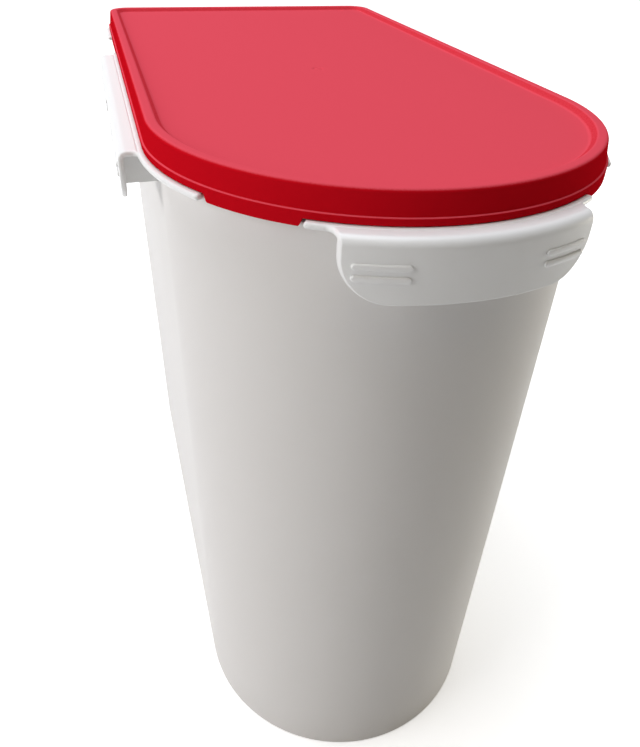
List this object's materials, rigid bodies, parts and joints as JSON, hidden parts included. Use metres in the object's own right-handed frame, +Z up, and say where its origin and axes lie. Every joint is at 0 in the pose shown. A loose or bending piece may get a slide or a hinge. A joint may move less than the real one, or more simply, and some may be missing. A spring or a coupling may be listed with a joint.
{
  "type": "rice bin with flip lid",
  "caption": "Tall rounded-front storage bin with hanging grips on its front and sides and a flat sealed lid hinged at the straight back.",
  "frame": {"origin": "on the surface that the bin stands on, under the middle of its width and of its whole length", "axes": "+Z up, -Y towards the rounded front, +Y towards the hinged straight back, +X to the right-hand side as seen from the front"},
  "size_m": [0.266, 0.4906, 0.4437],
  "materials": {
    "body": "satin moulded polypropylene, warm white",
    "grips": "smooth moulded plastic, cool white",
    "lid": "fine-grained moulded polypropylene, red",
    "seal": "soft pale silicone",
    "pins": "plain drawn steel"
  },
  "bodies": {
    "bin": {"bin_body": "body", "front_grip": "grips", "left_grip": "grips", "right_grip": "grips", "hinge_rail": "grips", "hinge_pin_left": "pins", "hinge_pin_right": "pins"},
    "lid": {"lid": "lid", "lid_seal": "seal"}
  },
  "joints": [
    {"name": "lid_hinge", "type": "hinge", "parent": "bin", "child": "lid", "pos_m": [0, 0.23875, 0.43385], "axis": [-1, 0, 0], "range_deg": [0, 105]}
  ]
}
